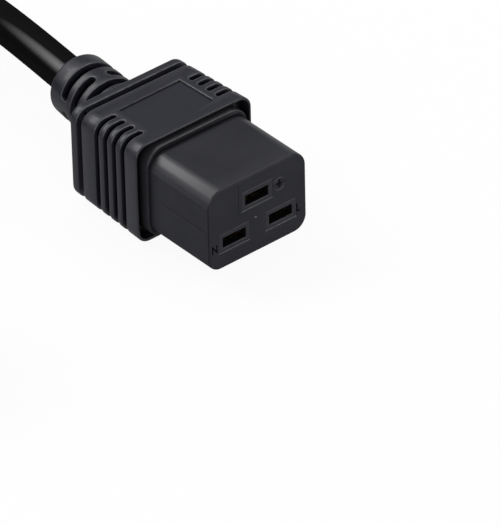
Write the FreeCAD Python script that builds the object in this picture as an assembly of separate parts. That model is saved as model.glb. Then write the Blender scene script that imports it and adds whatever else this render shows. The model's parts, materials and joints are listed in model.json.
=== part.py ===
import FreeCAD, Part
import math
import os

# Moulded C19 appliance connector on a three-core mains cord that ends in a straight earthed plug.
# Millimetres. +X runs across the two live slots, +Y from the mating face to the cord, +Z up.
# The origin is on the standing surface, under the middle of the connector.

V = FreeCAD.Vector

# ---- mating block -------------------------------------------------------------------------------
block_width = 27.4
block_height = 20.5
block_top_radius = 4.2
block_bottom_radius = 3.4
block_reach = 21.0  # mating face to the grip's front rim
housing_wall = 1.3
housing_front_wall = 2.6
housing_skirt = 8.0  # how far the housing runs on inside the grip
collar_side_step = 0.4
collar_top_step = 1.2
collar_lead = 1.2  # how far the collar stands in front of the rim

# ---- contact pattern ----------------------------------------------------------------------------
pin_pitch = 13.0
earth_rise = 8.0
pair_drop = 3.8  # block centre down to the live pair
slot_width = 6.5
slot_height = 2.6
sleeve_wall = 1.1
sleeve_lip = 1.6
carrier_end = 20.0
chamber_width = 7.4
chamber_height = 3.8

# ---- female contacts ----------------------------------------------------------------------------
contact_clearance = 0.1
contact_sheet = 0.4
contact_front = 2.2
contact_box_length = 14.0
contact_seam = 0.5
leaf_length = 9.0
leaf_gap = 1.5  # free gap between the two spring leaves
leaf_width = 4.8
neck_length = 2.4
neck_width = 2.6
barrel_length = 6.5
barrel_wall = 0.5

# ---- cord ---------------------------------------------------------------------------------------
cord_diameter = 8.8
cord_straight = 20.0  # how far the cord keeps to the strain relief's line
cord_settle = (7.2, 106.0, 11.0)  # the point where it has begun to settle
core_diameter = 2.9
conductor_diameter = 1.6
core_circle = 1.75  # cord axis to each core's axis
core_strip = 1.2  # bare conductor between barrel and insulation

# ---- grip and strain relief ---------------------------------------------------------------------
grip_side_step = 2.6  # block to grip, each side
grip_top_step = 2.45
grip_width = block_width + 2 * grip_side_step
grip_height = block_height + 2 * grip_top_step
grip_length = 23.3
grip_side_taper = 0.4  # each side, front rim to rear
grip_top_taper = 1.0
grip_corner_radius = 3.4
rim_wall = 0.7
rim_depth = 3.0
rim_round = 0.35
rear_round = 1.0
ring_groove_width = 1.6
ring_groove_depth = 1.3
flange_thickness = 2.6
side_groove_count = 4
side_groove_pitch = 3.0
side_groove_width = 1.3
side_groove_depth = 1.2
side_groove_margin = 9.55  # rear of the grip to the last side groove's centre
side_groove_reach = 5.9  # how far each side groove runs on to the wide faces
side_groove_inner = grip_width / 2 - side_groove_reach
panel_border = 1.75  # panel to the side grooves' ends
panel_half_width = side_groove_inner - panel_border
panel_length = 11.6
panel_margin = 8.2  # rear of the grip to the panel
panel_depth = 0.45
relief_lean = 6.4  # degrees that the strain relief is bent towards +X
relief_length = 19.8
relief_root_diameter = 16.2
relief_end_diameter = 15.0
relief_end_round = 0.8
relief_ring_length = 4.8
relief_rows = 3
relief_row_pitch = 4.1
relief_slot_width = 2.1
relief_slot_sweep = 140.0
relief_slot_floor = 5.9  # cord axis to the floor of the slots
jacket_set_in = 3.0  # how far the jacket runs on into the grip

# ---- coil of the cord and its tie ---------------------------------------------------------------
coil_mean_radius = 47.0
coil_across = 3
coil_layers = 3
coil_centre_y = 158.0  # from the mating face
coil_entry_x = 11.0
coil_lead = 38.0
tail_lead = 60.0
tie_thickness = 0.6
tie_width = 4.0
tie_angle = 16.0
tie_tail_length = 14.0
tie_tail_diameter = 1.8
tie_sink = 0.3  # how far the twisted ends are pressed into the band

# ---- plug at the far end ------------------------------------------------------------------------
plug_radius = 18.4
plug_face_round = 0.8
plug_drum_length = 16.0
plug_shoulder_radius = 16.2
plug_shoulder_length = 3.4
plug_neck_radius = 12.0
plug_neck_length = 5.6
plug_body_length = 36.0
plug_waist_radius = 9.4
plug_relief_length = 25.0
plug_relief_radius = 6.8
plug_x = -86.0
plug_tail_y = 82.0  # end of the plug's strain relief, from the mating face
plug_pin_diameter = 4.8
plug_pin_length = 19.0
plug_pin_pitch = 19.0
plug_pin_shank = 10.0
plug_shank_diameter = 5.6
plug_pin_dome = 1.5
plug_barrel_diameter = 3.4
plug_barrel_length = 6.5
plug_relief_grooves = 4
plug_relief_first = 3.0
plug_relief_pitch = 4.6
plug_relief_groove_width = 1.6
plug_relief_groove_depth = 1.1
clip_channel_width = 8.0
clip_channel_depth = 2.2
clip_channel_length = 14.0
clip_width = 6.0
clip_sheet = 0.8
clip_front = 1.5
guide_notch_width = 4.6
guide_notch_depth = 2.4
guide_notch_length = 14.0
socket_rise = 10.0
socket_bore = 4.9
socket_wall = 0.5
bridge_thickness = 6.0
bridge_half_width = 14.2
bridge_low = 5.0
bridge_high = 13.2
bridge_corner_radius = 4.0

# ---- worked out from the sizes above ------------------------------------------------------------
lean = math.radians(relief_lean)
relief_axis = V(math.sin(lean), math.cos(lean), 0)
grip_front = block_reach
grip_rear = grip_front + grip_length
relief_end_flat = relief_length - relief_end_round
relief_end_reach = relief_end_diameter / 2 - relief_end_round
connector_length = (
    grip_rear + relief_end_flat * math.cos(lean) + relief_end_reach * math.sin(lean) + relief_end_round)
axis_height = grip_height / 2
live_height = axis_height - pair_drop
earth_height = live_height + earth_rise
cord_radius = cord_diameter / 2
core_radius = core_diameter / 2
conductor_radius = conductor_diameter / 2
barrel_radius = conductor_radius + barrel_wall
contact_rear = contact_front + contact_box_length
barrel_front = contact_rear + neck_length
barrel_rear = barrel_front + barrel_length
centring = V(0, -connector_length / 2, 0)
far_out = 3 * grip_width


def frame_points(half_width, top, bottom, top_radius, bottom_radius):
    """Rounded outline across the Y axis, as centre, radius and start angle of its four corners."""
    return [
        (half_width - top_radius, top - top_radius, top_radius, 0),
        (-half_width + top_radius, top - top_radius, top_radius, 90),
        (-half_width + bottom_radius, bottom + bottom_radius, bottom_radius, 180),
        (half_width - bottom_radius, bottom + bottom_radius, bottom_radius, 270),
    ]


def outline(y, half_width, top, bottom, top_radius, bottom_radius):
    """Closed wire of four sides and four corner arcs, in the plane at y."""
    def at(corner, turn):
        x, z, radius, start = corner
        angle = math.radians(start + turn)
        return V(x + radius * math.cos(angle), y, z + radius * math.sin(angle))

    corners = frame_points(half_width, top, bottom, top_radius, bottom_radius)
    edges = []
    for corner, following in zip(corners, corners[1:] + corners[:1]):
        edges.append(Part.Arc(at(corner, 0), at(corner, 45), at(corner, 90)).toShape())
        edges.append(Part.LineSegment(at(corner, 90), at(following, 0)).toShape())
    return Part.Wire(edges)


def prism(y0, y1, *sizes):
    """A rounded bar from y0 to y1."""
    return Part.Face(outline(y0, *sizes)).extrude(V(0, y1 - y0, 0))


def box(x0, x1, y0, y1, z0, z1):
    return Part.makeBox(x1 - x0, y1 - y0, z1 - z0, V(x0, y0, z0))


def rod(radius, start, end):
    return Part.makeCylinder(radius, (end - start).Length, start, end - start)


def turned(profile, sweep=360):
    """A closed profile of (radius, y) points, turned about the Y axis."""
    points = [V(radius, y, 0) for radius, y in profile]
    return Part.Face(Part.makePolygon(points + points[:1])).revolve(V(0, 0, 0), V(0, 1, 0), sweep)


def route(points, share=0.45):
    """Straight runs joined by tangent arcs, and the arcs' radii."""
    edges = []
    radii = []
    start = points[0]
    for before, corner, after in zip(points, points[1:], points[2:]):
        inward = (corner - before).normalize()
        outward = (after - corner).normalize()
        turn = inward.getAngle(outward)
        setback = share * min((corner - before).Length, (after - corner).Length)
        radius = setback / math.tan(turn / 2)
        arc_start = corner - inward * setback
        arc_end = corner + outward * setback
        middle = (outward - inward).normalize()
        arc_middle = corner + middle * (radius / math.cos(turn / 2) - radius)
        edges.append(Part.LineSegment(start, arc_start).toShape())
        edges.append(Part.Arc(arc_start, arc_middle, arc_end).toShape())
        radii.append(radius)
        start = arc_end
    edges.append(Part.LineSegment(start, points[-1]).toShape())
    return Part.Wire(edges), radii


def tube(points, radius):
    """A round cord along the route."""
    path, radii = route(points)
    section = Part.Wire(Part.makeCircle(radius, points[0], points[1] - points[0]))
    return path.makePipeShell([section], True, True), path, radii


# ---- the block: housing, contact carrier --------------------------------------------------------
contact_places = {
    "neutral": (-pin_pitch / 2, live_height),
    "line": (pin_pitch / 2, live_height),
    "earth": (0, earth_height),
}


def block_sizes(inset):
    """The block's section drawn in by inset all round."""
    return (
        block_width / 2 - inset,
        axis_height + block_height / 2 - inset,
        axis_height - block_height / 2 + inset,
        block_top_radius - inset,
        block_bottom_radius - inset,
    )


def sleeve(x, z, y0, y1, grow=0.0):
    half_width = slot_width / 2 + sleeve_wall + grow
    half_height = slot_height / 2 + sleeve_wall + grow
    return box(x - half_width, x + half_width, y0, y1, z - half_height, z + half_height)


def make_housing():
    """The moulded block: open behind, with a window for each sleeve and a collar at the grip."""
    skirt_end = grip_front + housing_skirt
    shell = prism(0, skirt_end, *block_sizes(0))
    collar = prism(
        grip_front - collar_lead,
        grip_front + rim_depth,
        block_width / 2 + collar_side_step,
        axis_height + block_height / 2 + collar_top_step,
        axis_height - block_height / 2 - collar_top_step,
        block_top_radius + collar_side_step,
        block_bottom_radius + collar_side_step,
    )
    hollow = prism(housing_front_wall, skirt_end, *block_sizes(housing_wall))
    windows = [sleeve(x, z, 0, housing_front_wall) for x, z in contact_places.values()]
    return shell.fuse(collar).cut(hollow).cut(windows).removeSplitter()


def make_carrier():
    """The insert behind the block's face: three sleeves on one body, a chamber through each."""
    body = prism(housing_front_wall, carrier_end, *block_sizes(housing_wall))
    sleeves = [sleeve(x, z, 0, housing_front_wall) for x, z in contact_places.values()]
    hollows = []
    for x, z in contact_places.values():
        hollows.append(box(
            x - slot_width / 2, x + slot_width / 2, 0, sleeve_lip, z - slot_height / 2, z + slot_height / 2))
        hollows.append(box(
            x - chamber_width / 2, x + chamber_width / 2, sleeve_lip, carrier_end,
            z - chamber_height / 2, z + chamber_height / 2))
    return body.fuse(sleeves).removeSplitter().cut(hollows)


def make_contact(x, z):
    """A folded sheet receptacle: box with a seam, two bowed leaves, a neck and a crimp barrel."""
    half_width = chamber_width / 2 - contact_clearance
    half_height = chamber_height / 2 - contact_clearance
    shell = box(-half_width, half_width, contact_front, contact_rear, -half_height, half_height)
    inside = box(
        -half_width + contact_sheet, half_width - contact_sheet, contact_front, contact_rear,
        -half_height + contact_sheet, half_height - contact_sheet)
    seam = box(-contact_seam / 2, contact_seam / 2, contact_front, contact_rear, -half_height, 0)
    shape = shell.cut([inside, seam])
    leaf_middle = (contact_front + contact_rear) / 2
    root = half_height - contact_sheet
    bow = leaf_gap / 2 + contact_sheet
    for side in (-1, 1):
        ends = [V(-leaf_width / 2, leaf_middle + k * leaf_length / 2, side * root) for k in (-1, 1)]
        peak = V(-leaf_width / 2, leaf_middle, side * leaf_gap / 2)
        back = V(-leaf_width / 2, leaf_middle, side * bow)
        thick = V(0, contact_sheet, 0)
        edges = [
            Part.Arc(ends[0], peak, ends[1]).toShape(),
            Part.LineSegment(ends[1], ends[1] - thick).toShape(),
            Part.Arc(ends[1] - thick, back, ends[0] + thick).toShape(),
            Part.LineSegment(ends[0] + thick, ends[0]).toShape(),
        ]
        leaf = Part.Face(Part.Wire(edges)).extrude(V(leaf_width, 0, 0))
        shape = shape.fuse(leaf)
    neck = box(
        -neck_width / 2, neck_width / 2, contact_rear - contact_sheet, barrel_front + contact_sheet,
        half_height - 2 * contact_sheet, half_height)
    step = box(
        -neck_width / 2, neck_width / 2, barrel_front - contact_sheet, barrel_front + contact_sheet,
        0, half_height)
    barrel = rod(barrel_radius, V(0, barrel_front, 0), V(0, barrel_rear, 0))
    bore = rod(conductor_radius, V(0, barrel_front - contact_sheet, 0), V(0, barrel_rear, 0))
    shape = shape.fuse([neck, step, barrel]).cut(bore).removeSplitter()
    shape.translate(V(x, 0, z))
    return shape


# ---- the cord's end inside the connector --------------------------------------------------------
relief_root = V(0, grip_rear, axis_height)
jacket_start = relief_root - relief_axis * jacket_set_in
cord_exit = relief_root + relief_axis * relief_length
core_angles = {"neutral": 210, "line": 330, "earth": 90}


def fanned_core(start, end, lead):
    """One insulated core from its barrel to the jacket's end."""
    shape, _, _ = tube([start, start + V(0, lead, 0), end - V(0, lead, 0), end], core_radius)
    return shape


def core_offset(name):
    angle = math.radians(core_angles[name])
    return V(core_circle * math.cos(angle), 0, core_circle * math.sin(angle))


def make_connector_cores(jacket):
    cores = {}
    for name, (x, z) in contact_places.items():
        start = V(x, barrel_rear + core_strip, z)
        end = jacket_start + core_offset(name) + V(0, core_radius, 0)
        cores[name] = fanned_core(start, end, core_radius).cut(jacket)
    return cores


def make_conductor(x, z, front, rear):
    return rod(conductor_radius, V(x, front, z), V(x, rear, z))


# ---- the grip -----------------------------------------------------------------------------------
def grip_sizes(share, inset=0.0):
    """The grip's section at share of the way from its rim to its rear, drawn in by inset."""
    half_width = grip_width / 2 - grip_side_taper * share - inset
    half_height = grip_height / 2 - grip_top_taper * share - inset
    radius = grip_corner_radius - inset
    return half_width, axis_height + half_height, axis_height - half_height, radius, radius


def grip_bar(first, last, inset=0.0):
    """The tapered body between two shares of the way back: flat slanting sides, round long corners."""
    rings = []
    for share in (first, last):
        half_width, top, bottom, radius, _ = grip_sizes(share, inset)
        y = grip_front + share * grip_length
        rings.append([
            V(half_width, y, top), V(-half_width, y, top), V(-half_width, y, bottom), V(half_width, y, bottom)])
    outlines = rings[:]
    for k in range(4):
        following = (k + 1) % 4
        outlines.append([rings[0][k], rings[0][following], rings[1][following], rings[1][k]])
    faces = [Part.Face(Part.makePolygon(corners + corners[:1])) for corners in outlines]
    bar = Part.Solid(Part.Shell(faces))
    return bar.makeFillet(radius, [e for e in bar.Edges if abs(e.Vertexes[0].Y - e.Vertexes[1].Y) > 1])


def grip_core(inset):
    """The tapered body drawn in by inset, running past both ends."""
    return grip_bar(-1, 2, inset)


def edges_at(shape, y):
    return [e for e in shape.Edges if all(abs(v.Point.y - y) < 1e-6 for v in e.Vertexes)]


def slice_at(y, width):
    return box(-far_out, far_out, y - width / 2, y + width / 2, -far_out, far_out)


def make_grip_grooves():
    """Side grooves that wrap on to the wide faces, with round ends."""
    core = grip_core(side_groove_depth)
    end_radius = side_groove_width / 2
    cutters = []
    for k in range(side_groove_count):
        y = grip_rear - side_groove_margin - k * side_groove_pitch
        ring = slice_at(y, side_groove_width).cut(core)
        middle = box(
            -side_groove_inner - end_radius, side_groove_inner + end_radius,
            y - side_groove_width, y + side_groove_width, -far_out, far_out)
        cutters.append(ring.cut(middle))
        for side in (-1, 1):
            x = side * (side_groove_inner + end_radius)
            round_end = rod(end_radius, V(x, y, -far_out), V(x, y, far_out))
            cutters.append(round_end.cut(core))
    return cutters


def make_panel_cutter():
    rear = grip_rear - panel_margin
    block = box(-panel_half_width, panel_half_width, rear - panel_length, rear, -far_out, far_out)
    return block.cut(grip_core(panel_depth))


def make_relief():
    """The round strain relief: plain end ring, then rows of arc slots, by turns above and beside."""
    sink = flange_thickness
    root_radius = relief_root_diameter / 2
    end_radius = relief_end_diameter / 2
    body = turned([
        (0, -sink),
        (root_radius, -sink),
        (root_radius, 0),
        (end_radius, relief_length),
        (0, relief_length),
    ])
    body = body.makeFillet(relief_end_round, edges_at(body, relief_length)[:1])
    slots = []
    outer = relief_root_diameter
    for row in range(relief_rows):
        centre = relief_length - relief_ring_length - relief_slot_width / 2 - row * relief_row_pitch
        y0 = centre - relief_slot_width / 2
        y1 = centre + relief_slot_width / 2
        first = 90 if row % 2 == 0 else 0
        for middle in (first, first + 180):
            ring = turned([
                (relief_slot_floor, y0), (outer, y0), (outer, y1), (relief_slot_floor, y1),
            ], relief_slot_sweep)
            ring.rotate(V(0, 0, 0), V(0, 1, 0), -middle - relief_slot_sweep / 2)
            slots.append(ring)
            for side in (-1, 1):
                angle = math.radians(middle + side * relief_slot_sweep / 2)
                ray = V(math.cos(angle), 0, math.sin(angle))
                start = V(0, centre, 0) + ray * relief_slot_floor
                slots.append(rod(relief_slot_width / 2, start, start + ray * outer))
    relief = body.cut(slots)
    relief.rotate(V(0, 0, 0), V(0, 0, 1), -relief_lean)
    relief.translate(relief_root)
    return relief


def make_grip(inner_pieces):
    """The overmould: grip, flange and strain relief in one, closed round what it holds."""
    body = grip_bar(0, 1)
    body = body.makeFillet(rim_round, edges_at(body, grip_front))
    body = body.makeFillet(rear_round, edges_at(body, grip_rear))
    groove_y = grip_rear - flange_thickness - ring_groove_width / 2
    ring_groove = slice_at(groove_y, ring_groove_width).cut(grip_core(ring_groove_depth))
    rim_pocket = prism(grip_front, grip_front + rim_depth, *grip_sizes(0, rim_wall))
    cutters = [ring_groove, rim_pocket, make_panel_cutter()] + make_grip_grooves()
    body = body.cut(cutters).fuse(make_relief())
    filling = prism(carrier_end, grip_front + rim_depth, *block_sizes(housing_wall))
    return body.fuse(filling).cut(inner_pieces).removeSplitter()


# ---- the cord outside ---------------------------------------------------------------------------
coil_half_width = coil_across * cord_diameter / 2
coil_inner = coil_mean_radius - coil_half_width
coil_outer = coil_mean_radius + coil_half_width
coil_height = coil_layers * cord_diameter
first_turn_radius = coil_outer - cord_radius
coil_centre = V(coil_entry_x - first_turn_radius, coil_centre_y, 0)
bottom_turn_height = tie_thickness + cord_radius
top_turn_height = bottom_turn_height + (coil_layers - 1) * cord_diameter
coil_entry = V(coil_entry_x, coil_centre_y, bottom_turn_height)
plug_axis_height = plug_radius
plug_tail = V(plug_x, plug_tail_y, plug_axis_height)

# The cord leaves level, then settles towards the coil's lowest turn.
cord_points = [
    cord_exit,
    cord_exit + relief_axis * cord_straight,
    V(*cord_settle),
]
coil_lead_start = coil_entry + (cord_points[-1] - coil_entry).normalize() * coil_lead
cord_points.append(coil_lead_start)

# At the far end it comes down off the top turn and runs level into the plug.
coil_exit = V(plug_x, coil_centre_y, top_turn_height)
tail_start = V(plug_x, coil_centre_y - tail_lead, plug_axis_height)


def ring_section(grow):
    """The coil's section, in the XZ plane, grown all round."""
    corner = cord_radius + grow
    return outline(
        0, coil_half_width + grow, tie_thickness + coil_height + grow, tie_thickness - grow, corner, corner)


def turned_section(section, radius, sweep):
    """A section in the XZ plane, moved out to radius and turned about the Z axis."""
    section.translate(V(radius, 0, 0))
    return Part.Face(section).revolve(V(0, 0, 0), V(0, 0, 1), sweep)


def make_coil():
    """The outer shape of the wound turns, with the straight ends that join it."""
    ring = turned_section(ring_section(0), coil_mean_radius, 360)
    ring.translate(coil_centre)
    entry = rod(cord_radius, coil_lead_start, coil_entry)
    overrun = (tail_start - coil_exit) * (cord_radius / tail_lead)
    leaving = rod(cord_radius, coil_exit, tail_start + overrun)
    beyond = box(
        plug_x - cord_diameter, plug_x + cord_diameter, tail_start.y - cord_diameter, tail_start.y,
        0, top_turn_height + cord_diameter)
    return ring.fuse([entry, leaving.cut(beyond)]).removeSplitter()


def make_tie():
    """A flat tie round the coil's section, with its twisted ends laid on the top turn."""
    sweep = math.degrees(tie_width / coil_mean_radius)
    outer, inner = (
        turned_section(ring_section(grow), coil_mean_radius, sweep) for grow in (tie_thickness, 0))
    band = outer.cut(inner)
    tail_height = 2 * tie_thickness + coil_height + tie_tail_diameter / 2 - tie_sink
    middle = math.radians(sweep / 2)
    ray = V(math.cos(middle), math.sin(middle), 0)
    across = V(-ray.y, ray.x, 0)
    start = ray * coil_mean_radius + V(0, 0, tail_height)
    tail = rod(tie_tail_diameter / 2, start, start + across * tie_tail_length)
    tie = band.fuse(tail)
    tie.rotate(V(0, 0, 0), V(0, 0, 1), tie_angle)
    tie.translate(coil_centre)
    return tie


# ---- the plug -----------------------------------------------------------------------------------
plug_length = plug_body_length + plug_relief_length
plug_face = V(plug_x, plug_tail_y - plug_length, plug_axis_height)
plug_bar_y = clip_channel_length
plug_jacket_y = plug_body_length


def make_plug_core(name):
    places = {
        "neutral": (-plug_pin_pitch / 2, plug_pin_shank + plug_barrel_length),
        "line": (plug_pin_pitch / 2, plug_pin_shank + plug_barrel_length),
        "earth": (0, plug_bar_y + clip_sheet + plug_barrel_length),
    }
    x, rear = places[name]
    offset = core_offset(name)
    end = V(offset.x, plug_jacket_y, offset.z)
    start = V(x, rear + core_strip, 0)
    core = fanned_core(start, end, core_diameter)
    conductor = make_conductor(x, 0, rear - plug_barrel_length + conductor_diameter, rear + core_strip)
    return core, conductor


def make_plug_pin(x):
    """A solid round pin with a domed tip, a shank in the bridge and a crimp barrel behind."""
    pin = rod(plug_pin_diameter / 2, V(x, -plug_pin_length, 0), V(x, 0, 0))
    pin = pin.makeFillet(plug_pin_dome, edges_at(pin, -plug_pin_length)[:1])
    shank = rod(plug_shank_diameter / 2, V(x, 0, 0), V(x, plug_pin_shank, 0))
    rear = plug_pin_shank + plug_barrel_length
    barrel = rod(plug_barrel_diameter / 2, V(x, plug_pin_shank, 0), V(x, rear, 0))
    bore = rod(conductor_radius, V(x, plug_pin_shank + conductor_diameter, 0), V(x, rear, 0))
    return pin.fuse([shank, barrel]).cut(bore).removeSplitter()


def make_earth_bow():
    """The earth strip: an arm on each flat side, joined through the body, with its barrel."""
    floor = plug_radius - clip_channel_depth
    top = floor + clip_sheet
    half = clip_width / 2
    bar = box(-half, half, plug_bar_y, plug_bar_y + clip_sheet, -top, top)
    arms = [
        box(-half, half, clip_front, plug_bar_y, floor, top),
        box(-half, half, clip_front, plug_bar_y, -top, -floor),
    ]
    rear = plug_bar_y + clip_sheet + plug_barrel_length
    barrel = rod(plug_barrel_diameter / 2, V(0, plug_bar_y, 0), V(0, rear, 0))
    bore_front = rear - plug_barrel_length + conductor_diameter
    bore = rod(conductor_radius, V(0, bore_front, 0), V(0, rear, 0))
    return bar.fuse(arms + [barrel]).cut(bore).removeSplitter()


def make_earth_socket():
    outer = rod(socket_bore / 2 + socket_wall, V(0, 0, socket_rise), V(0, plug_bar_y, socket_rise))
    inner = rod(socket_bore / 2, V(0, 0, socket_rise), V(0, plug_bar_y, socket_rise))
    return outer.cut(inner)


def make_bridge(metal):
    plate = prism(
        0, bridge_thickness, bridge_half_width, bridge_high, -bridge_low,
        bridge_corner_radius, bridge_corner_radius)
    socket_hole = rod(
        socket_bore / 2 + socket_wall, V(0, 0, socket_rise), V(0, bridge_thickness, socket_rise))
    return plate.cut(metal + [socket_hole])


def make_plug_body(inner_pieces):
    """The plug's overmould: drum, waist and ringed strain relief, closed round what it holds."""
    shoulder_end = plug_drum_length + plug_shoulder_length
    neck_end = shoulder_end + plug_neck_length
    waist_start = (neck_end + plug_body_length) / 2
    profile = [
        (0, 0),
        (plug_radius - plug_face_round, 0),
        (plug_radius, plug_face_round),
        (plug_radius, plug_drum_length),
        (plug_shoulder_radius, shoulder_end),
        (plug_neck_radius, neck_end),
        (plug_waist_radius, waist_start),
        (plug_waist_radius, plug_body_length),
    ]
    for k in range(plug_relief_grooves):
        y = plug_body_length + plug_relief_first + k * plug_relief_pitch
        share = (y - plug_body_length) / plug_relief_length
        radius = plug_waist_radius + (plug_relief_radius - plug_waist_radius) * share
        profile.append((radius, y))
        profile.append((radius - plug_relief_groove_depth, y))
        profile.append((radius - plug_relief_groove_depth, y + plug_relief_groove_width))
        profile.append((radius, y + plug_relief_groove_width))
    profile.append((plug_relief_radius, plug_length))
    profile.append((0, plug_length))
    body = turned(profile)
    floor = plug_radius - clip_channel_depth
    half_channel = clip_channel_width / 2
    side = plug_radius - guide_notch_depth
    half_notch = guide_notch_width / 2
    cutters = [
        box(-half_channel, half_channel, 0, clip_channel_length, floor, far_out),
        box(-half_channel, half_channel, 0, clip_channel_length, -far_out, -floor),
        box(side, far_out, 0, guide_notch_length, -half_notch, half_notch),
        box(-far_out, -side, 0, guide_notch_length, -half_notch, half_notch),
        rod(socket_bore / 2, V(0, 0, socket_rise), V(0, plug_bar_y, socket_rise)),
    ]
    return body.cut(cutters).cut(inner_pieces).removeSplitter()


# ---- assembly -----------------------------------------------------------------------------------
def save(name, shape, offset=V(0, 0, 0)):
    placed = shape.copy()
    placed.translate(offset + centring)
    solids = placed.Solids
    one = solids[0] if len(solids) == 1 else Part.Compound(solids)
    one.exportStep("parts/" + name + ".step")
    print(name, "solids", len(solids), "valid", one.isValid(), "volume", round(one.Volume, 1))


os.makedirs("parts", exist_ok=True)

housing = make_housing()
carrier = make_carrier()
contacts = {name: make_contact(x, z) for name, (x, z) in contact_places.items()}
jacket_tail = rod(cord_radius, jacket_start, cord_exit)
cores = make_connector_cores(jacket_tail)
conductors = {
    name: make_conductor(x, z, barrel_front + contact_sheet, barrel_rear + core_strip)
    for name, (x, z) in contact_places.items()
}
held = [housing, carrier, jacket_tail] + list(contacts.values()) + list(cores.values())
grip = make_grip(held + list(conductors.values()))

save("front_housing", housing)
save("contact_carrier", carrier)
save("grip_overmould", grip)
save("jacket_tail", jacket_tail)
for name in contact_places:
    save(name + "_contact", contacts[name])
    save(name + "_core", cores[name])
    save(name + "_conductor", conductors[name])

run, run_path, run_radii = tube(cord_points, cord_radius)
section_area = math.pi * cord_radius ** 2
print("cord arcs", [round(r, 1) for r in run_radii], "length", round(run_path.Length, 1))
print("cord volume over section times length", round(run.Volume / (section_area * run_path.Length), 4))
coil = make_coil()
tail_run = rod(cord_radius, tail_start, plug_tail)
save("cord_run", run)
save("cord_coil", coil)
save("coil_tie", make_tie())
save("cord_tail", tail_run)

plug_metal = [make_plug_pin(-plug_pin_pitch / 2), make_plug_pin(plug_pin_pitch / 2), make_earth_bow()]
earth_socket = make_earth_socket()
bridge = make_bridge(plug_metal)
plug_jacket = rod(cord_radius, V(0, plug_jacket_y, 0), V(0, plug_length, 0))
plug_cores = {name: make_plug_core(name) for name in contact_places}
plug_wires = [piece for pair in plug_cores.values() for piece in pair]
plug_body = make_plug_body(plug_metal + [earth_socket, bridge, plug_jacket] + plug_wires)

save("plug_body", plug_body, plug_face)
save("plug_bridge", bridge, plug_face)
save("plug_pin_neutral", plug_metal[0], plug_face)
save("plug_pin_line", plug_metal[1], plug_face)
save("plug_earth_strip", plug_metal[2], plug_face)
save("plug_earth_socket", earth_socket, plug_face)
save("plug_jacket_tail", plug_jacket, plug_face)
for name, (core, conductor) in plug_cores.items():
    save("plug_" + name + "_core", core, plug_face)
    save("plug_" + name + "_conductor", conductor, plug_face)
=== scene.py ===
import json
import math

import bmesh
import bpy
from mathutils import Matrix, Quaternion, Vector


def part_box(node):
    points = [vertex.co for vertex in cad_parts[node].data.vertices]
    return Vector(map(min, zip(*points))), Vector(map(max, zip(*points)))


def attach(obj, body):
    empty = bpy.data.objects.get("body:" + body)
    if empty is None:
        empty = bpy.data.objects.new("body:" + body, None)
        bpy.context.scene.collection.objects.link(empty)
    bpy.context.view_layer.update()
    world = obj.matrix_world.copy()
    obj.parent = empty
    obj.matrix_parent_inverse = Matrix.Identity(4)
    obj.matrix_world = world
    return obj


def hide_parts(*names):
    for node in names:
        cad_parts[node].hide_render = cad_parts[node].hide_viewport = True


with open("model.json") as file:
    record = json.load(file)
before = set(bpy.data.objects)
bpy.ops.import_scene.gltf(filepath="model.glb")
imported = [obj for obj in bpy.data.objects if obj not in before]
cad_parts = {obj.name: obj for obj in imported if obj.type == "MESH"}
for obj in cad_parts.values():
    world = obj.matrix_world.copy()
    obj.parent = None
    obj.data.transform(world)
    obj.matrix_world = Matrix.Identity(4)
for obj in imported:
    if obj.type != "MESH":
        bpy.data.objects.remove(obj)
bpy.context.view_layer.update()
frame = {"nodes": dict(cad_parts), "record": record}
scene = bpy.context.scene

# ---- places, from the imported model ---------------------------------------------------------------
MM = 0.001
housing_low, housing_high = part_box("front_housing")
grip_low, grip_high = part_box("grip_overmould")
face_y = housing_low.y
axis_height = (grip_low.z + grip_high.z) / 2


def spot(x, y, z):
    """A point from its millimetres: across, back from the mating face, above the floor."""
    return Vector((x * MM, face_y + y * MM, z * MM))


def from_middle(x, y, z):
    """A point from its millimetres: across, back from the mating face, above the face's middle."""
    return spot(x, y, 0) + Vector((0, 0, axis_height + z * MM))


def placed(name, data):
    """A new object in the scene."""
    made = bpy.data.objects.new(name, data)
    scene.collection.objects.link(made)
    return made


# ---- camera --------------------------------------------------------------------------------------
camera_azimuth = math.radians(-39.436)
camera_elevation = math.radians(35.527)
camera_roll = math.radians(-1.335)
camera_distance = 1.4381
camera_lens = 459.7
camera_aim = spot(-5.641, -3.944, 4.018)

scene.view_settings.view_transform = "Standard"
camera = placed("camera", bpy.data.cameras.new("camera"))
scene.camera = camera
camera.data.sensor_width = 36
camera.data.lens = camera_lens
camera.data.clip_start = 0.05
camera.data.clip_end = 20
back = Vector((
    math.sin(camera_azimuth) * math.cos(camera_elevation),
    -math.cos(camera_azimuth) * math.cos(camera_elevation),
    math.sin(camera_elevation),
))
camera.rotation_mode = "QUATERNION"
camera.location = camera_aim + back * camera_distance
camera.rotation_quaternion = (
    (-back).to_track_quat("-Z", "Y") @ Quaternion((0, 0, 1), camera_roll))

# ---- cord ----------------------------------------------------------------------------------------
# All in millimetres. A place is across, back from the mating face and above the floor.
cord_diameter = 8.8
cord_radius = cord_diameter / 2
cord_straight = 20.0  # how far it keeps to the strain relief's line
cord_settle = (7.2, 106.0, 11.0)  # where it has begun to settle
relief_lean = math.radians(6.4)
relief_length = 19.8
relief_height = 12.7
grip_rear = 44.3
coil_entry_x = 11.0
coil_outer_turn = 55.8  # radii of the turns, to the middle of the cord
coil_inner_turn = 38.2
coil_centre_x = coil_entry_x - coil_outer_turn
coil_centre_y = 158.0
coil_turns = 5.5
coil_lead = 38.0
turn_points = 24
layer_heights = (5.0, 13.8, 22.6)
layer_turns = 2.0
climb_turns = 0.12
plug_x = -86.0
plug_tail_y = 82.0
plug_height = 18.4
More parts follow.
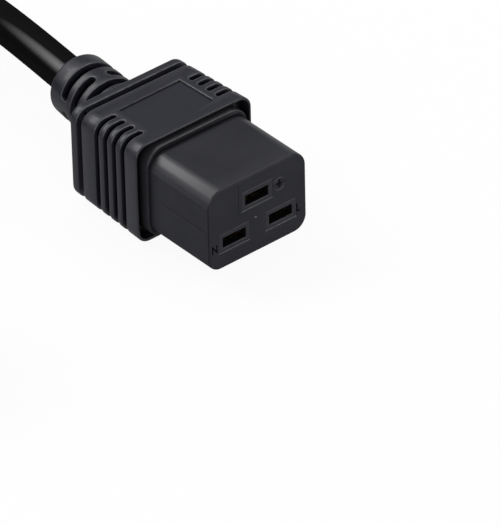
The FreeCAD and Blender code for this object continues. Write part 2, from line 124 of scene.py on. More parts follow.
# The end is laid over the top turn and comes down to the plug.
cord_descent = (
    (-87.2, 164.0, 24.4),
    (-87.0, 146.0, 30.6),
    (-86.6, 124.0, 32.0),
    (-86.2, 108.0, 22.0),
    (plug_x, 98.0, plug_height),
    (plug_x, plug_tail_y, plug_height),
)

relief_axis = Vector((math.sin(relief_lean), math.cos(relief_lean), 0))
relief_root = spot(0, grip_rear, relief_height)
cord_exit = relief_root + relief_axis * relief_length * MM


def coil_radius(turn):
    """The turns run in, out and in again, one layer each."""
    along = turn % (2 * layer_turns)
    share = along / layer_turns if along <= layer_turns else 2 - along / layer_turns
    return coil_outer_turn + (coil_inner_turn - coil_outer_turn) * share


def coil_height(turn):
    """Flat layers, with a short smooth climb from each to the next."""
    height = layer_heights[0]
    for layer in range(1, len(layer_heights)):
        share = (turn - layer * layer_turns) / (2 * climb_turns) + 0.5
        share = min(max(share, 0), 1)
        rise = layer_heights[layer] - layer_heights[layer - 1]
        height += rise * share * share * (3 - 2 * share)
    return height


def cord_route():
    """The points of the cord's line, from the strain relief through the coil to the plug."""
    settle = spot(*cord_settle)
    entry = spot(coil_entry_x, coil_centre_y, layer_heights[0])
    lead = entry + (settle - entry).normalized() * coil_lead * MM
    points = [cord_exit, cord_exit + relief_axis * cord_straight * MM, settle, lead]
    for step in range(round(coil_turns * turn_points) - 1):
        turn = step / turn_points
        angle = 2 * math.pi * turn
        radius = coil_radius(turn)
        points.append(spot(
            coil_centre_x + radius * math.cos(angle),
            coil_centre_y + radius * math.sin(angle),
            coil_height(turn),
        ))
    return points + [spot(*place) for place in cord_descent]


cord_curve = bpy.data.curves.new("mains_cord", "CURVE")
cord_curve.dimensions = "3D"
cord_line = cord_curve.splines.new("NURBS")
route = cord_route()
cord_line.points.add(len(route) - 1)
for place, point in zip(route, cord_line.points):
    point.co = (*place, 1)
    point.radius = cord_radius * MM
cord_line.order_u = 3
cord_line.use_endpoint_u = True
cord_line.resolution_u = 8
cord_curve.bevel_depth = 1.0  # each point's radius gives the thickness
cord_curve.bevel_resolution = 9
cord_curve.use_fill_caps = True
mains_cord = placed("mains_cord", cord_curve)
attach(mains_cord, "root")
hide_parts("cord_run", "cord_coil", "cord_tail")

# ---- shader helpers ------------------------------------------------------------------------------
# Object coordinates are in metres, so a noise scale of 1000 has features about a millimetre across.


def node(tree, kind, operation=None, **values):
    """A new node, with its operation and its sockets' values set."""
    made = tree.nodes.new(kind)
    if operation:
        made.operation = operation
    for label, value in values.items():
        made.inputs[label.replace("_", " ")].default_value = value
    return made


def feed(tree, value, socket):
    """Fills a socket from another socket, or with a plain value."""
    if isinstance(value, bpy.types.NodeSocket):
        tree.links.new(value, socket)
    else:
        socket.default_value = value


def maths(tree, operation, first, second, clamp=False):
    """A Math node. Either side is a socket or a plain number."""
    made = node(tree, "ShaderNodeMath", operation)
    made.use_clamp = clamp
    feed(tree, first, made.inputs[0])
    feed(tree, second, made.inputs[1])
    return made.outputs[0]


def times(tree, first, second):
    """The product of two sockets or plain numbers."""
    return maths(tree, "MULTIPLY", first, second)


def spread(tree, value, low, high, to_low=0.0, to_high=1.0):
    """A value spread from one range to another, and held inside it."""
    made = node(
        tree, "ShaderNodeMapRange", From_Min=low, From_Max=high, To_Min=to_low, To_Max=to_high)
    tree.links.new(value, made.inputs["Value"])
    return made.outputs[0]


def noise(tree, coordinates, scale, detail, roughness=0.5):
    """A noise texture. Its scale is a socket or a plain number."""
    made = node(tree, "ShaderNodeTexNoise", Detail=detail, Roughness=roughness)
    tree.links.new(coordinates, made.inputs["Vector"])
    feed(tree, scale, made.inputs["Scale"])
    return made.outputs["Fac"]


def mixed(tree, share, first, second):
    """Two colours mixed by share. Each is a socket or a plain colour."""
    made = tree.nodes.new("ShaderNodeMix")
    made.data_type = "RGBA"
    tree.links.new(share, made.inputs["Factor"])
    for label, colour in (("A", first), ("B", second)):
        socket = [s for s in made.inputs if s.name == label and s.type == "RGBA"][0]
        feed(tree, (*colour, 1) if isinstance(colour, tuple) else colour, socket)
    return [s for s in made.outputs if s.type == "RGBA"][0]


def object_coordinates(tree):
    """Places on the part, in metres."""
    return tree.nodes.new("ShaderNodeTexCoord").outputs["Object"]


def point_mark(tree, name):
    """One of the marks that a piece's points carry."""
    attribute = tree.nodes.new("ShaderNodeAttribute")
    attribute.attribute_name = name
    return attribute.outputs["Fac"]


def upward(tree):
    """How far the surface faces up: 1 on top, 0 on a wall, -1 underneath."""
    facing = tree.nodes.new("ShaderNodeSeparateXYZ")
    tree.links.new(tree.nodes.new("ShaderNodeNewGeometry").outputs["Normal"], facing.inputs[0])
    return facing.outputs["Z"]


def free_of_shade(tree):
    """1 where no shade is painted and 0 where it is painted in full, as at the bottom of a narrow
    groove.
    """
    return maths(tree, "SUBTRACT", 1.0, point_mark(tree, "shade_mark"), clamp=True)


# ---- shared shader groups ------------------------------------------------------------------------
def new_group(name, inputs, outputs):
    """An empty node group with float inputs, given as {name: default}, and float outputs.

    Gives back the group, what it is given and what it puts out."""
    group = bpy.data.node_groups.new(name, "ShaderNodeTree")
    for label, value in inputs.items():
        socket = group.interface.new_socket(label, in_out="INPUT", socket_type="NodeSocketFloat")
        socket.default_value = value
    for label in outputs:
        group.interface.new_socket(label, in_out="OUTPUT", socket_type="NodeSocketFloat")
    given = group.nodes.new("NodeGroupInput").outputs
    put = group.nodes.new("NodeGroupOutput").inputs
    return group, given, put


def make_grain_group():
    """The fine spark texture of a mould's wall, and broad soft blotches."""
    tree, given, put = new_group(
        "mould_grain", {"Grain scale": 2600.0, "Blotch scale": 90.0}, ["Grain", "Blotch"])
    place = object_coordinates(tree)
    fine = noise(tree, place, given["Grain scale"], 3)
    broad = noise(tree, place, given["Blotch scale"], 3)
    pits = tree.nodes.new("ShaderNodeTexVoronoi")
    tree.links.new(place, pits.inputs["Vector"])
    tree.links.new(given["Grain scale"], pits.inputs["Scale"])
    pitted = spread(tree, pits.outputs["Distance"], 0.1, 0.6)
    tree.links.new(times(tree, fine, pitted), put["Grain"])
    tree.links.new(spread(tree, broad, 0.3, 0.7), put["Blotch"])
    return tree


def make_wear_and_highlight_group():
    """Where an upper edge is paler, partly rubbed wear and partly a painted highlight: the piece's
    edge mark, broken up by noise.
    """
    tree, given, put = new_group("edge_wear_and_highlight", {"Break-up scale": 700.0, "Reach": 0.55}, ["Wear"])
    broken = noise(tree, object_coordinates(tree), given["Break-up scale"], 4)
    wear_and_highlight_share = spread(tree, maths(tree, "ADD", broken, given["Reach"]), 0.75, 1.15)
    wear_and_highlight_share = times(tree, wear_and_highlight_share, spread(tree, upward(tree), 0.05, 0.5))
    tree.links.new(times(tree, wear_and_highlight_share, point_mark(tree, "edge")), put["Wear"])
    return tree


def make_dust_group():
    """A thin settling of dust on what faces up."""
    tree, given, put = new_group("settled_dust", {"Speck scale": 1900.0}, ["Dust"])
    specks = noise(tree, object_coordinates(tree), given["Speck scale"], 5, 0.7)
    up = spread(tree, upward(tree), 0.2, 1.0)
    tree.links.new(times(tree, up, spread(tree, specks, 0.6, 0.75)), put["Dust"])
    return tree


def make_painted_shade_group():
    """Painted shade: takes the colour towards near black where a piece's points are marked as shut
    in.
    """
    tree, given, put = new_group("painted_shade", {"Depth": 0.9}, ["Grime"])
    shut = maths(tree, "SUBTRACT", 1.0, free_of_shade(tree))
    tree.links.new(times(tree, shut, given["Depth"]), put["Grime"])
    return tree


def make_polish_group():
    """How far a spot is polished: a share on the flats, another on the roundings and walls."""
    tree, given, put = new_group(
        "rubbed_rounding", {"Flat": 0.1, "Round": 0.4, "Wall": 0.0}, ["Polish"])
    up = upward(tree)
    level = maths(tree, "SQRT", maths(tree, "SUBTRACT", 1.0, times(tree, up, up)), 0.0)
    slanted = times(tree, up, times(tree, level, 2.0))  # 1 where the surface slants by 45 degrees
    rounding = spread(tree, slanted, 0.2, 0.75)
    more = maths(tree, "SUBTRACT", given["Round"], given["Flat"])
    polish = maths(tree, "ADD", given["Flat"], times(tree, rounding, more))
    wall = times(tree, spread(tree, up, 0.0, 0.35, 1.0, 0.0), given["Wall"])
    polish = maths(tree, "ADD", polish, wall)
    tree.links.new(times(tree, polish, free_of_shade(tree)), put["Polish"])
    return tree


grain_group = make_grain_group()
wear_and_highlight_group = make_wear_and_highlight_group()
dust_group = make_dust_group()
polish_group = make_polish_group()
painted_shade_group = make_painted_shade_group()


def use_group(tree, group, **values):
    """A shared group's outputs in a material, with its inputs set."""
    made = tree.nodes.new("ShaderNodeGroup")
    made.node_tree = group
    for label, value in values.items():
        made.inputs[label.replace("_", " ")].default_value = value
    return made.outputs


# ---- materials -----------------------------------------------------------------------------------
dust_colour = (0.42, 0.42, 0.41)
# near black: the colour of the painted shade in grooves, hollows and slots
painted_shade_colour = (0.001, 0.001, 0.001)
rubbed_lift = 0.13  # how much paler a rubbed edge is than its plastic: partly wear, partly a painted highlight
smooth_grain = 0.00001  # depths of the grain, in metres
spark_grain = 0.00002
scratch_depth = 0.000006


def new_material(name, colour):
    """A material with a Principled shader, and its tree."""
    material = bpy.data.materials.new(name)
    material.use_nodes = True
    material.diffuse_color = (*colour, 1)
    tree = material.node_tree
    return material, tree, tree.nodes["Principled BSDF"]


def paler(colour, factor):
    """A colour made lighter by a factor."""
    return tuple(min(1.0, channel * factor) for channel in colour)


def dusted(tree, base, share):
    """Where the dust lies, and the base colour with this share of it."""
    dust = use_group(tree, dust_group)["Dust"]
    return dust, mixed(tree, times(tree, dust, share), base, dust_colour)


def add_bump(tree, shader, height, distance):
    """A fine relief, its depth in metres."""
    bump = node(tree, "ShaderNodeBump", Strength=1.0, Distance=distance)
    tree.links.new(height, bump.inputs["Height"])
    tree.links.new(bump.outputs["Normal"], shader.inputs["Normal"])


def add_gloss(tree, shader, weight, roughness, ior):
    """All the gloss of a plastic, as a coat, so that it can differ from spot to spot."""
    shader.inputs["Specular IOR Level"].default_value = 0.0
    shader.inputs["Coat Roughness"].default_value = roughness
    shader.inputs["Coat IOR"].default_value = ior
    tree.links.new(weight, shader.inputs["Coat Weight"])


def moulded(
        name, colour, roughness, grain_scale=2600.0, grain_depth=spark_grain, wear_and_highlight_share=0.8, dusty=0.02,
        flat_polish=0.1, round_polish=0.4, wall_polish=0.0):
    """Dyed moulded plastic: spark grain, faint blotches, paler edges that are partly rubbed wear and
    partly a painted highlight, a little dust, and painted shade where its points are marked as shut
    in.
    """
    material, tree, shader = new_material(name, colour)
    grain = use_group(tree, grain_group, Grain_scale=grain_scale)
    wear_and_highlight = use_group(tree, wear_and_highlight_group)["Wear"]
    # paler upper edges: partly rubbed wear, partly a painted highlight
    rubbed = tuple(channel + rubbed_lift for channel in colour)
    base = mixed(tree, grain["Blotch"], colour, paler(colour, 1.25))
    base = mixed(tree, times(tree, wear_and_highlight, wear_and_highlight_share), base, rubbed)
    dust, base = dusted(tree, base, dusty)
    # painted shade: the colour goes towards near black where the points are marked as shut in
    base = mixed(tree, use_group(tree, painted_shade_group)["Grime"], base, painted_shade_colour)
    tree.links.new(base, shader.inputs["Base Color"])
    rough = spread(tree, grain["Blotch"], 0.0, 1.0, roughness - 0.03, roughness + 0.04)
    rough = maths(tree, "SUBTRACT", rough, times(tree, wear_and_highlight, 0.08))
    rough = maths(tree, "ADD", rough, times(tree, dust, 0.1), clamp=True)
    tree.links.new(rough, shader.inputs["Roughness"])
    polish = use_group(
        tree, polish_group, Flat=flat_polish, Round=round_polish, Wall=wall_polish)["Polish"]
    add_gloss(tree, shader, polish, roughness=0.32, ior=1.8)
    add_bump(tree, shader, grain["Grain"], grain_depth)
    return material


def jacket(name, colour, roughness):
    """Extruded cord jacket: fine grain, slow blotches, and a sheen that keeps off its rims."""
    material, tree, shader = new_material(name, colour)
    grain = use_group(tree, grain_group, Grain_scale=3200.0, Blotch_scale=55.0)
    base = mixed(tree, grain["Blotch"], colour, paler(colour, 1.3))
    _, base = dusted(tree, base, 0.005)
    tree.links.new(base, shader.inputs["Base Color"])
    rough = spread(tree, grain["Blotch"], 0.0, 1.0, roughness - 0.04, roughness + 0.05)
    tree.links.new(rough, shader.inputs["Roughness"])
    facing = node(tree, "ShaderNodeLayerWeight", Blend=0.5).outputs["Facing"]
    sheen = spread(tree, facing, low=0.257, high=0.35, to_low=0.55, to_high=0.01)
    add_gloss(tree, shader, sheen, roughness=0.27, ior=2.2)
    add_bump(tree, shader, grain["Grain"], smooth_grain)
    return material


def metal(name, colour, tarnish, roughness):
    """Stamped or turned metal: long fine scratches, tarnish in patches, brighter rubbed edges."""
    material, tree, shader = new_material(name, colour)
    grain = use_group(tree, grain_group, Grain_scale=4000.0, Blotch_scale=260.0)
    wear_and_highlight = use_group(tree, wear_and_highlight_group, Reach=0.7)["Wear"]
    base = mixed(tree, grain["Blotch"], colour, tarnish)
    base = mixed(tree, wear_and_highlight, base, paler(colour, 1.15))
    tree.links.new(base, shader.inputs["Base Color"])
    stretch = node(tree, "ShaderNodeMapping", Scale=(60.0, 1.0, 60.0))
    tree.links.new(object_coordinates(tree), stretch.inputs["Vector"])
    scratches = noise(tree, stretch.outputs["Vector"], 300.0, 3, 0.6)
    rough = spread(tree, scratches, 0.3, 0.7, roughness - 0.08, roughness + 0.12)
    tree.links.new(rough, shader.inputs["Roughness"])
    shader.inputs["Metallic"].default_value = 1.0
    add_bump(tree, shader, scratches, scratch_depth)
    return material


def striped_core(name, green, yellow):
    """Earth insulation: green below, yellow above the height of the connector's axis."""
    material, tree, shader = new_material(name, green)
    grain = use_group(tree, grain_group, Grain_scale=3000.0, Blotch_scale=200.0)
    parts = tree.nodes.new("ShaderNodeSeparateXYZ")
    tree.links.new(object_coordinates(tree), parts.inputs[0])
    above = maths(tree, "SUBTRACT", parts.outputs["Z"], axis_height)
    base = mixed(tree, spread(tree, above, 0.0002, 0.0004), green, yellow)
    tree.links.new(base, shader.inputs["Base Color"])
    tree.links.new(spread(tree, grain["Blotch"], 0.0, 1.0, 0.38, 0.48), shader.inputs["Roughness"])
    add_bump(tree, shader, grain["Grain"], smooth_grain)
    return material


housing_black = moulded(
    "housing_black", (0.0250, 0.0254, 0.0300), 0.50, flat_polish=0.04, round_polish=0.35)
carrier_black = moulded(
    "carrier_black", (0.0315, 0.0320, 0.0376), 0.50, wear_and_highlight_share=0.35, flat_polish=0.04, round_polish=0.15)
# near black: painted shade standing in for the shadow on the letters, the earth sign's bars and the
# face seam
painted_shade_marks = moulded(
    "painted_shade_marks", (0.002, 0.002, 0.0024), 0.6, wear_and_highlight_share=0.0, dusty=0.0, flat_polish=0.0,
    round_polish=0.0)
line_black = moulded(
    "line_black", (0.034, 0.034, 0.038), 0.5, wear_and_highlight_share=0.0, dusty=0.0, flat_polish=0.04)
overmould_black = moulded(
    "overmould_black", (0.0132, 0.0137, 0.0196), 0.50, grain_scale=2200.0, flat_polish=0.14,
    round_polish=0.32, wall_polish=0.11)
plug_black = moulded("plug_black", (0.0170, 0.0172, 0.0200), 0.50)
bridge_black = moulded("bridge_black", (0.018, 0.018, 0.020), 0.42, grain_depth=smooth_grain)
tie_black = moulded("tie_black", (0.010, 0.010, 0.011), 0.36, grain_depth=smooth_grain)
cord_black = jacket("cord_black", (0.0046, 0.0044, 0.0044), 0.5)
core_brown = moulded(
    "core_brown", (0.14, 0.055, 0.022), 0.42, grain_depth=smooth_grain, wear_and_highlight_share=0.0)
core_blue = moulded("core_blue", (0.03, 0.12, 0.42), 0.42, grain_depth=smooth_grain, wear_and_highlight_share=0.0)
core_earth = striped_core("core_earth", (0.02, 0.26, 0.05), (0.75, 0.62, 0.03))
# brass darkened far below its own colour, so that the contacts look shaded deep in their slots:
# painted shade
contact_brass = metal("contact_brass", (0.15, 0.11, 0.06), (0.09, 0.065, 0.035), 0.42)
strand_copper = metal("strand_copper", (0.83, 0.42, 0.24), (0.52, 0.22, 0.10), 0.36)
pin_nickel = metal("pin_nickel", (0.72, 0.70, 0.66), (0.52, 0.50, 0.46), 0.26)

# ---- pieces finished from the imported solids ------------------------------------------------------
# Lengths are in millimetres, and places are across, back or up from the mating face's middle.
weld_gap = 0.002  # points nearer than this are one
level_angle = math.radians(0.5)  # faces within this of each other are one flat face
raised_angle = math.radians(35)  # an edge turned further than this is rounded over
hollow_angle = math.radians(-35)  # an inner corner turned further than this gets painted shade
shading_angle = math.radians(38)  # an edge turned less than this is shaded smooth
groove_face_area = 90.0  # square millimetres: the faces round a groove's corner are smaller
outline_round = 0.35  # width of the rounding round the mating face
window_round = 0.1  # round the slots' windows
sleeve_round = 0.1
collar_round = 0.15
slots_half_width = 11.2  # the slots' windows lie inside this, and the block's outline outside it
slots_half_height = 6.7
collar_back = 15.0  # the block's raised edges further back than this are its collar's
collar_shade_reach = 1.4  # how far in front of the collar its painted shadow begins
collar_corner_reach = 1.0  # the inner corner in front of the collar lies within this
collar_shut_in = 0.5  # further back than this from its front, the grip shuts the collar in, and shade is painted there in full
# painted shadow of the grip in the hollow corner in front of the collar
collar_shade = 0.75
front_shade = 0.45  # painted shade on the rounding round the mating face, which darkens it and takes off part of its gloss
slot_cut = 0.3  # the slots' walls are cut here, and painted with shade from slot_shade_start back
slot_shade_start = 0.2
lit_pocket_side = 13.5  # the pocket's wall on this side is open to the light and gets no painted shade
lit_pocket_back = 24.0
panel_sink = 0.6  # the top panel's edges lie within this of the grip's top
crisp_spans = (  # the top panel's front edge and its left edge: across, then back
    ((-8.3, 8.3), (22.0, 26.0)),
    ((-8.9, -8.3), (24.0, 35.0)),
)


def new_shape(mesh=None):
    """A bmesh with a layer for the rubbed edges, which are also painted paler as a highlight, and one
    for where shade is painted.
    """
    shape = bmesh.new()
    if mesh:
        shape.from_mesh(mesh)
    shape.verts.layers.float.new("edge")
    shape.verts.layers.float.new("shade_mark")
    return shape


def merged_copy(node_name):
    """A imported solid's surface with its loose triangles joined and its flat faces made whole."""
    shape = new_shape(frame["nodes"][node_name].data)
    bmesh.ops.remove_doubles(shape, verts=shape.verts, dist=weld_gap * MM)
    bmesh.ops.dissolve_limit(
        shape, angle_limit=level_angle, verts=shape.verts, edges=shape.edges, delimit={"NORMAL"})
    return shape


def how_far_back(point):
    """A point's millimetres back from the mating face."""
    return (point.y - face_y) / MM


def middle_of(edge):
    """The point halfway along an edge."""
    return (edge.verts[0].co + edge.verts[1].co) / 2


def raised_edges(shape):
    """The sharp outward edges."""
    return [
        edge for edge in shape.edges
        if edge.is_manifold and edge.calc_face_angle_signed(0) > raised_angle]


def in_hollow(vertex):
    """Whether a point lies on a sharp inward edge."""
    return any(
        edge.is_manifold and edge.calc_face_angle_signed(0) < hollow_angle
        for edge in vertex.link_edges)


def mark(shape, layer, vertices, value=1.0):
    """Marks these points in one of the shape's layers, but not those that a rounding used up."""
    marks = shape.verts.layers.float[layer]
    for vertex in vertices:
        if vertex.is_valid:
            vertex[marks] = value


def in_groove(vertex):
    """Whether a point lies at the bottom of a narrow groove, away from the pocket's lit wall."""
    in_lit_pocket = (
        vertex.co.x > lit_pocket_side * MM and how_far_back(vertex.co) < lit_pocket_back)
    narrow = all(face.calc_area() < groove_face_area * MM * MM for face in vertex.link_faces)
    return narrow and in_hollow(vertex) and not in_lit_pocket


def cut_across(shape, back):
    """Adds a loop of points all round, this far back from the mating face."""
    bmesh.ops.bisect_plane(
        shape, geom=[*shape.verts, *shape.edges, *shape.faces],
        plane_co=(0, face_y + back * MM, 0), plane_no=(0, 1, 0))


def round_over(shape, edges, width, segments=2):
    """Rounds these edges and gives back the points along the middle of each rounding."""
    made = bmesh.ops.bevel(
        shape, geom=edges, offset=width * MM, offset_type="OFFSET", segments=segments, profile=0.5,
        affect="EDGES", clamp_overlap=False, material=-1)
    rounding = set(made["faces"])
    return {
        vertex for face in rounding for vertex in face.verts
        if all(beside in rounding for beside in vertex.link_faces)}


def add_piece(name, shape, material, rubbed=(), stands_for=()):
    """Makes a piece from a bmesh, smooth up to its real edges, with the rubbed points marked, whose
    upper sides are painted paler as a highlight.
    """
    mark(shape, "edge", rubbed)
    for face in shape.faces:
        face.smooth = True
    for edge in shape.edges:
        edge.smooth = edge.is_manifold and edge.calc_face_angle(0) < shading_angle
    mesh = bpy.data.meshes.new(name)
    shape.to_mesh(mesh)
    shape.free()
    mesh.materials.append(material)
    piece = placed(name, mesh)
    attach(piece, "root")
    if stands_for:
        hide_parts(*stands_for)
    return piece


def front_edges(shape):
    """The sharp edges that lie in the mating face."""
    return [
        edge for edge in raised_edges(shape)
        if all(abs(how_far_back(vertex.co)) < 0.01 for vertex in edge.verts)]


def on_outline(edge):
    """Whether an edge of the mating face lies on the block's outline and not round a slot."""
    middle = middle_of(edge)
    return (
        abs(middle.x) > slots_half_width * MM
        or abs(middle.z - axis_height) > slots_half_height * MM)


def finish_housing():
    """The mating block: rounded front edges, a rubbed collar painted paler on top as a highlight, and
    painted shade before and behind the collar and on the rounding round the mating face.
    """
    shape = merged_copy("front_housing")
    front = front_edges(shape)
    outline = [edge for edge in front if on_outline(edge)]
    windows = [edge for edge in front if not on_outline(edge)]
    front_rounding = round_over(shape, outline, outline_round, 3)
    round_over(shape, [edge for edge in windows if edge.is_valid], window_round, 1)
    collar = [edge for edge in raised_edges(shape) if how_far_back(edge.verts[0].co) > collar_back]
    rubbed = round_over(shape, collar, collar_round)
    collar_front = min(how_far_back(vertex.co) for vertex in rubbed)
    cut_across(shape, collar_front - collar_shade_reach)
    corner = [
        vertex for vertex in shape.verts
        if how_far_back(vertex.co) > collar_front - collar_corner_reach and in_hollow(vertex)]
    behind = [
        vertex for vertex in shape.verts
        if how_far_back(vertex.co) > collar_front + collar_shut_in]
    # painted shade: the grip's shadow in front of the collar, full shade where the grip shuts it in,
    # lighter shade on the front rounding
    mark(shape, "shade_mark", corner, collar_shade)
    mark(shape, "shade_mark", behind)
    mark(shape, "shade_mark", front_rounding, front_shade)
    add_piece("mating_block", shape, housing_black, rubbed, ["front_housing"])


def finish_carrier():
    """The insert round the slots, with shade painted a little way inside them."""
    shape = merged_copy("contact_carrier")
    rubbed = round_over(shape, front_edges(shape), sleeve_round, 1)
    cut_across(shape, slot_cut)
    inside = [vertex for vertex in shape.verts if how_far_back(vertex.co) > slot_shade_start]
    mark(shape, "shade_mark", inside)
    add_piece("slot_insert", shape, carrier_black, rubbed, ["contact_carrier"])


def stays_crisp(edge):
    """Whether an edge is the top panel's front or left edge, which has no rounding."""
    middle = middle_of(edge)
    across, back = middle.x / MM, how_far_back(middle)
    return middle.z > grip_high.z - panel_sink * MM and any(
        left < across < right and near < back < far
        for (left, right), (near, far) in crisp_spans)


def finish_whole(node_name, name, material, width):
    """A solid finished with one edge radius all over."""
    shape = merged_copy(node_name)
    # painted shade at the bottoms of the narrow grooves
    mark(shape, "shade_mark", [vertex for vertex in shape.verts if in_groove(vertex)])
    rubbed = round_over(
        shape, [edge for edge in raised_edges(shape) if not stays_crisp(edge)], width)
    return add_piece(name, shape, material, rubbed, [node_name])


finish_housing()
finish_carrier()
finish_whole("grip_overmould", "grip", overmould_black, width=0.35)
cord_pieces = [
    finish_whole("plug_body", "plug_moulding", plug_black, width=0.25),
    finish_whole("plug_bridge", "plug_face_bridge", bridge_black, width=0.15),
    finish_whole("plug_earth_strip", "plug_side_contacts", pin_nickel, width=0.12),
    finish_whole("coil_tie", "coil_tie_band", tie_black, width=0.12),
]
replaced = ("plug_body", "plug_bridge", "plug_earth_strip")
cord_pieces += [
    solid for name, solid in frame["nodes"].items()
    if name.startswith("plug_") and name not in replaced]

# ---- finishes for the solids that stay as they are -----------------------------------------------
finishes = {
    "cord_jacket": cord_black,
    "core_brown": core_brown,
    "core_blue": core_blue,
    "core_green_yellow": core_earth,
    "contact_brass": contact_brass,
    "copper_strand": strand_copper,
    "plated_pin": pin_nickel,
    "housing_plastic": housing_black,
    "carrier_plastic": carrier_black,
    "overmould_pvc": overmould_black,
    "plug_pvc": plug_black,
    "bridge_plastic": bridge_black,
    "tie_plastic": tie_black,
}
for part in frame["record"]["subparts"]:
    solid = frame["nodes"][part["node"]]
    solid.data.materials.clear()
    solid.data.materials.append(finishes[part["material_slot"]])
cord_curve.materials.append(cord_black)

# ---- small marks on the mating face --------------------------------------------------------------
# All in millimetres, across and up from the face's middle.
mark_height = 0.09  # how far a mark stands proud
letter_height = 3.0
letter_width_share = 0.72
sign_stroke = 0.2
sign_stem = 1.0
sign_stem_rise = 0.8  # the middle of the stem, above the sign's place
sign_bars = (1.7, 1.1, 0.5)
sign_bar_rise = 0.25  # the first bar
sign_bar_pitch = 0.42
ring_radius = 1.55
ring_stroke = 0.16
ring_proudness = 1.6  # the ring's section, its height to its width
pip_radius = 0.4
pip_flatness = 0.5
seam_size = (0.07, 0.02, 7.6)
parting_size = (0.05, 14.4, 0.16)
parting_middle = 8.2  # back from the mating face


def add_letter(name, letter, x, z):
    """A letter moulded proud of the face, coloured near black as painted shade."""
    text = bpy.data.curves.new(name, "FONT")
    text.body = letter
    text.align_x = "CENTER"
    text.align_y = "CENTER"
    text.size = letter_height * MM
    text.extrude = mark_height * MM
    text.resolution_u = 4
    stand_in = placed(name, text)
    bpy.context.view_layer.update()
    drawn = stand_in.evaluated_get(bpy.context.evaluated_depsgraph_get())
    flat = bpy.data.meshes.new_from_object(drawn)
    bpy.data.objects.remove(stand_in)
    shape = new_shape(flat)
    bpy.data.meshes.remove(flat)
    bmesh.ops.remove_doubles(shape, verts=shape.verts, dist=0.001 * MM)
    bmesh.ops.scale(shape, verts=shape.verts, vec=(letter_width_share, 1, 1))
    bmesh.ops.rotate(shape, verts=shape.verts, matrix=Matrix.Rotation(math.radians(90), 3, "X"))
    bmesh.ops.translate(shape, verts=shape.verts, vec=from_middle(x, 0, z))
    bmesh.ops.recalc_face_normals(shape, faces=shape.faces)
    add_piece(name, shape, painted_shade_marks)


def add_bar(shape, middle, size):
    """A small block, centred at a point, its size in millimetres."""
    bar = bmesh.ops.create_cube(shape, size=1.0)["verts"]
    bmesh.ops.transform(shape, matrix=Matrix.Diagonal(Vector(size) * MM).to_4x4(), verts=bar)
    bmesh.ops.translate(shape, verts=bar, vec=middle)


def add_earth_sign(x, z):
    """The protective earth sign: a stem over three bars, each shorter than the last, near black as
    painted shade.
    """
    shape = new_shape()
    stem = from_middle(x, 0, z + sign_stem_rise)
    add_bar(shape, stem, (sign_stroke, 2 * mark_height, sign_stem))
    for row, width in enumerate(sign_bars):
        middle = from_middle(x, 0, z + sign_bar_rise - sign_bar_pitch * row)
        add_bar(shape, middle, (width, 2 * mark_height, sign_stroke))
    bmesh.ops.recalc_face_normals(shape, faces=shape.faces)
    add_piece("earth_sign", shape, painted_shade_marks)


def add_earth_ring(x, z):
    """The thin raised ring round the earth sign."""
    shape = new_shape()
    rim = bmesh.ops.create_circle(shape, segments=8, radius=ring_stroke / 2 * MM)["verts"]
    bmesh.ops.scale(shape, verts=rim, vec=(1, ring_proudness, 1))
    bmesh.ops.translate(shape, verts=rim, vec=(ring_radius * MM, 0, 0))
    bmesh.ops.spin(
        shape, geom=rim + list(shape.edges), cent=(0, 0, 0), axis=(0, 1, 0), angle=2 * math.pi,
        steps=32, use_merge=True)
    bmesh.ops.translate(shape, verts=shape.verts, vec=from_middle(x, 0, z))
    bmesh.ops.recalc_face_normals(shape, faces=shape.faces)
    # all its points count as rubbed, so its upper side is painted paler as a highlight
    add_piece("earth_ring", shape, housing_black, list(shape.verts))


def add_pip(x, z):
    """The ejector's small round pip."""
    shape = new_shape()
    made = bmesh.ops.create_uvsphere(shape, u_segments=16, v_segments=8, radius=pip_radius * MM)
    bmesh.ops.scale(shape, verts=made["verts"], vec=(1, pip_flatness, 1))
    bmesh.ops.translate(shape, verts=made["verts"], vec=from_middle(x, 0, z))
    # all its points count as rubbed, so its upper side is painted paler as a highlight
    add_piece("ejector_pip", shape, housing_black, list(shape.verts))


def add_face_seam(x, z):
    """The face's short upright seam, a near-black strip of painted shade."""
    shape = new_shape()
    add_bar(shape, from_middle(x, 0, z), seam_size)
    add_piece("face_seam", shape, painted_shade_marks)


def add_parting_line(z):
    """The mould's parting line along the block's two sides."""
    shape = new_shape()
    for side in (-1, 1):
        add_bar(shape, from_middle(side * housing_high.x / MM, parting_middle, z), parting_size)
    add_piece("parting_line", shape, line_black)


add_letter("neutral_mark", "N", -12.1, -4.6)
add_letter("line_mark", "L", 11.3, -4.2)
add_earth_sign(6.2, 4.3)
add_earth_ring(6.2, 4.4)
add_pip(-0.55, -1.35)
add_face_seam(-5.2, 5.2)
add_parting_line(0.2)

# ---- floor, background and light -----------------------------------------------------------------
floor_reach = 3.0
floor_colour = (0.9, 0.9, 0.9)
floor_glow = 0.93  # the share of the seen floor that is plain white, the rest holds the shadow
falling_light = 0.28
lamp_aim = spot(0, 20, 12)  # the middle of the connector


def seen_directly(tree):
    """1 for what is seen straight, in a gloss or through glass, and 0 for the light that falls."""
    rays = tree.nodes.new("ShaderNodeLightPath").outputs
    seen = maths(tree, "MAXIMUM", rays["Is Camera Ray"], rays["Is Glossy Ray"])
    return maths(tree, "MAXIMUM", seen, rays["Is Transmission Ray"])


def mix_in(tree, share, plain, white, surface):
    """Shows white in place of the plain shader, by share."""
    both = tree.nodes.new("ShaderNodeMixShader")
    tree.links.new(share, both.inputs[0])
    tree.links.new(plain.outputs[0], both.inputs[1])
    tree.links.new(white.outputs[0], both.inputs[2])
    tree.links.new(both.outputs[0], surface)


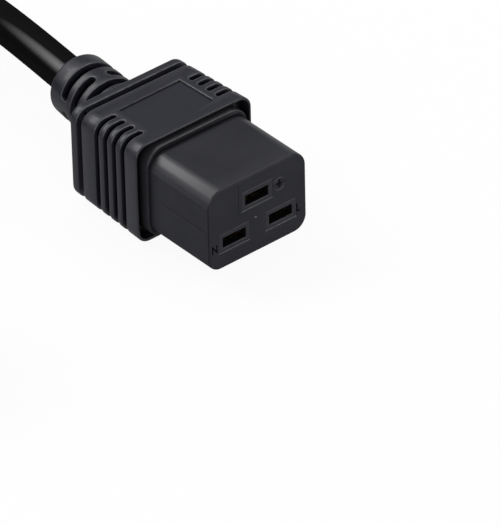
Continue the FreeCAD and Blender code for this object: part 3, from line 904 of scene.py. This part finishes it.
def make_floor():
    """The pale floor, which shows white and keeps the shadow."""
    shape = bmesh.new()
    bmesh.ops.create_grid(shape, x_segments=1, y_segments=1, size=floor_reach)
    mesh = bpy.data.meshes.new("floor")
    shape.to_mesh(mesh)
    shape.free()
    floor = placed("floor", mesh)
    material, tree, shader = new_material("pale_floor", floor_colour)
    shader.inputs["Base Color"].default_value = (*floor_colour, 1)
    shader.inputs["Roughness"].default_value = 0.9
    shader.inputs["Specular IOR Level"].default_value = 0.0
    glow = node(tree, "ShaderNodeEmission", Color=(1, 1, 1, 1), Strength=1.0)
    share = times(tree, seen_directly(tree), floor_glow)
    mix_in(tree, share, shader, glow, tree.nodes["Material Output"].inputs["Surface"])
    mesh.materials.append(material)


def make_world():
    """White surroundings, with a weaker even light falling on the piece."""
    world = bpy.data.worlds.new("studio")
    world.use_nodes = True
    scene.world = world
    tree = world.node_tree
    falling = tree.nodes["Background"]
    falling.inputs["Color"].default_value = (1, 1, 1, 1)
    falling.inputs["Strength"].default_value = falling_light
    white = node(tree, "ShaderNodeBackground", Color=(1, 1, 1, 1), Strength=1.0)
    mix_in(
        tree, seen_directly(tree), falling, white, tree.nodes["World Output"].inputs["Surface"])


def add_softbox(name, direction, distance, width, length, power, along=(0, 0, 1)):
    """A soft lamp that faces the connector, its length laid along the given direction."""
    lamp = bpy.data.lights.new(name, "AREA")
    lamp.shape = "RECTANGLE"
    lamp.size = width
    lamp.size_y = length
    lamp.energy = power
    box = placed(name, lamp)
    towards = Vector(direction).normalized()
    across = Vector(along).cross(towards).normalized()
    box.location = lamp_aim + towards * distance
    box.rotation_mode = "QUATERNION"
    turned = Matrix((across, towards.cross(across), towards)).transposed()
    box.rotation_quaternion = turned.to_quaternion()


make_floor()
make_world()
add_softbox(
    "key_light", (-0.33, 0.63, 0.70), distance=1.1, width=0.45, length=0.85, power=6.8,
    along=(0.905, 0, 0.427))
add_softbox("top_light", (0.35, 0.40, 0.85), distance=1.2, width=0.8, length=0.8, power=4.0)
add_softbox("side_fill", (-0.85, -0.65, 0.35), distance=1.3, width=0.7, length=0.7, power=5.0)
add_softbox("front_fill", (0.20, -1.0, 0.35), distance=1.3, width=0.7, length=0.7, power=0.8)
add_softbox("edge_light", (0.52, -0.58, 0.63), distance=1.2, width=0.45, length=0.45, power=2.4)
